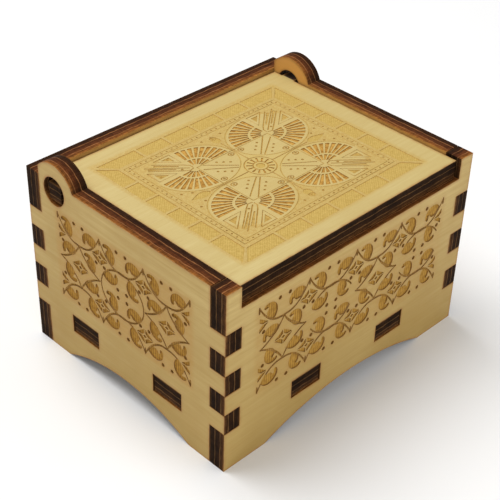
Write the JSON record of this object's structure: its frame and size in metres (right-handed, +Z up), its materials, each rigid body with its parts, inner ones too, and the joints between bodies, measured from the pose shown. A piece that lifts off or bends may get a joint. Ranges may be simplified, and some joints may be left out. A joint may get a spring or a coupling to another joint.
{
  "type": "hand crank music box",
  "caption": "Finger-jointed plywood box with a hinged lid and a crank at its right end, holding a comb and pinned-cylinder music movement driven by a worm.",
  "frame": {"origin": "middle of the footprint of the whole object, crank included, on the surface that the box stands on", "axes": "+X along the front of the box, from the plain end to the crank's end; +Y from the front to the hinged back; +Z up"},
  "size_m": [0.0856, 0.0524, 0.043],
  "materials": {
    "plywood": "laser cut birch plywood, unvarnished, with scorched edges",
    "bedplate_zinc": null,
    "comb_steel": "ground spring steel",
    "bracket_steel": "bright zinc plated sheet steel",
    "shaft_steel": "turned steel",
    "screw_steel": "nickel plated steel",
    "brass": "turned brass, satin",
    "nylon": "moulded nylon, natural white",
    "crank_nickel": "nickel plated steel wire",
    "knob_ivory": "ivory coloured moulded plastic"
  },
  "bodies": {
    "case": {"front_panel": "plywood", "back_panel": "plywood", "left_end_panel": "plywood", "right_end_panel": "plywood", "bottom_panel": "plywood", "bedplate": "bedplate_zinc", "comb": "comb_steel", "front_bracket": "bracket_steel", "back_bracket": "bracket_steel", "worm_bracket": "bracket_steel", "front_bracket_screw": "screw_steel", "back_bracket_screw": "screw_steel", "worm_bracket_screw_1": "screw_steel", "worm_bracket_screw_2": "screw_steel", "comb_screw_1": "screw_steel", "comb_screw_2": "screw_steel", "movement_screw_1": "screw_steel", "movement_screw_2": "screw_steel", "movement_screw_3": "screw_steel"},
    "lid": {"lid": "plywood"},
    "crank": {"worm_shaft": "shaft_steel", "crank_arm": "crank_nickel", "knob_end_cap": "crank_nickel"},
    "cylinder": {"pin_cylinder": "brass", "cylinder_gear": "nylon", "cylinder_end_cap": "nylon", "cylinder_arbor": "shaft_steel"},
    "knob": {"crank_knob": "knob_ivory"}
  },
  "joints": [
    {"name": "lid_hinge", "type": "hinge", "parent": "case", "child": "lid", "pos_m": [-0.01085, 0.01827, 0.03695], "axis": [-1, 0, 0], "range_deg": [0, 130]},
    {"name": "crank_spin", "type": "hinge", "parent": "case", "child": "crank", "pos_m": [0.02115, 0.00575, 0.017], "axis": [1, 0, 0], "continuous": true},
    {"name": "cylinder_spin", "type": "hinge", "parent": "case", "child": "cylinder", "pos_m": [-0.00086, 0.00575, 0.02585], "axis": [0, 1, 0], "continuous": true},
    {"name": "knob_spin", "type": "hinge", "parent": "crank", "child": "knob", "pos_m": [0.03675, 0.00575, 0.005], "axis": [1, 0, 0], "continuous": true}
  ],
  "couplings": [
    {"joint": "cylinder_spin", "follows": "crank_spin", "ratio": 0.041667}
  ]
}
